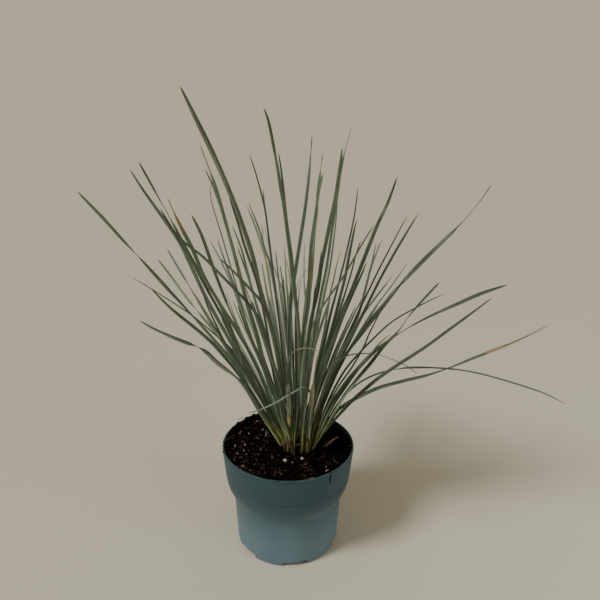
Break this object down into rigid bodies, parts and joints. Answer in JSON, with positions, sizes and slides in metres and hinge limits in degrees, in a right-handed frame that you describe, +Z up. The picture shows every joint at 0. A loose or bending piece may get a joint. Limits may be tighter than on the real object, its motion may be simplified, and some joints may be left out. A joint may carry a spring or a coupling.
{
  "type": "potted plant",
  "caption": "Potted blue oat grass: a loose tuft of narrow, stiff, blue-green leaves in a round plastic nursery pot filled with dark potting soil.",
  "frame": {"origin": "centre of the pot's flat underside, on the surface that the pot stands on", "axes": "+Z up along the pot's axis; -Y towards the viewer of the picture; +X to the right in that view, the side of the two long low leaves"},
  "size_m": [0.4549, 0.3801, 0.4492],
  "materials": {
    "pot_plastic": "satin to glossy, blue-grey, thin moulded wall",
    "soil": "moist dark peat with bark chips",
    "leaf": "glaucous blue-green leaf with a matt waxy bloom"
  },
  "bodies": {
    "root": {"pot": "pot_plastic", "soil": "soil", "shoot_01": "leaf", "shoot_02": "leaf", "shoot_03": "leaf", "shoot_04": "leaf", "shoot_05": "leaf", "shoot_06": "leaf", "shoot_07": "leaf", "shoot_08": "leaf", "shoot_09": "leaf", "shoot_10": "leaf", "shoot_11": "leaf", "shoot_12": "leaf", "shoot_13": "leaf", "shoot_14": "leaf", "shoot_15": "leaf", "shoot_16": "leaf", "shoot_17": "leaf", "shoot_18": "leaf", "shoot_19": "leaf", "shoot_20": "leaf", "shoot_21": "leaf", "shoot_22": "leaf", "shoot_23": "leaf", "shoot_24": "leaf", "shoot_25": "leaf", "shoot_26": "leaf", "shoot_27": "leaf", "shoot_28": "leaf", "shoot_29": "leaf", "shoot_30": "leaf", "shoot_31": "leaf", "shoot_32": "leaf", "shoot_33": "leaf", "shoot_34": "leaf", "shoot_35": "leaf", "shoot_36": "leaf", "shoot_37": "leaf", "shoot_38": "leaf", "shoot_39": "leaf", "shoot_40": "leaf", "shoot_41": "leaf", "shoot_42": "leaf", "shoot_43": "leaf", "shoot_44": "leaf", "shoot_45": "leaf", "shoot_46": "leaf", "shoot_47": "leaf", "shoot_48": "leaf", "shoot_49": "leaf", "shoot_50": "leaf", "shoot_51": "leaf", "shoot_52": "leaf", "shoot_53": "leaf", "shoot_54": "leaf"}
  },
  "joints": []
}
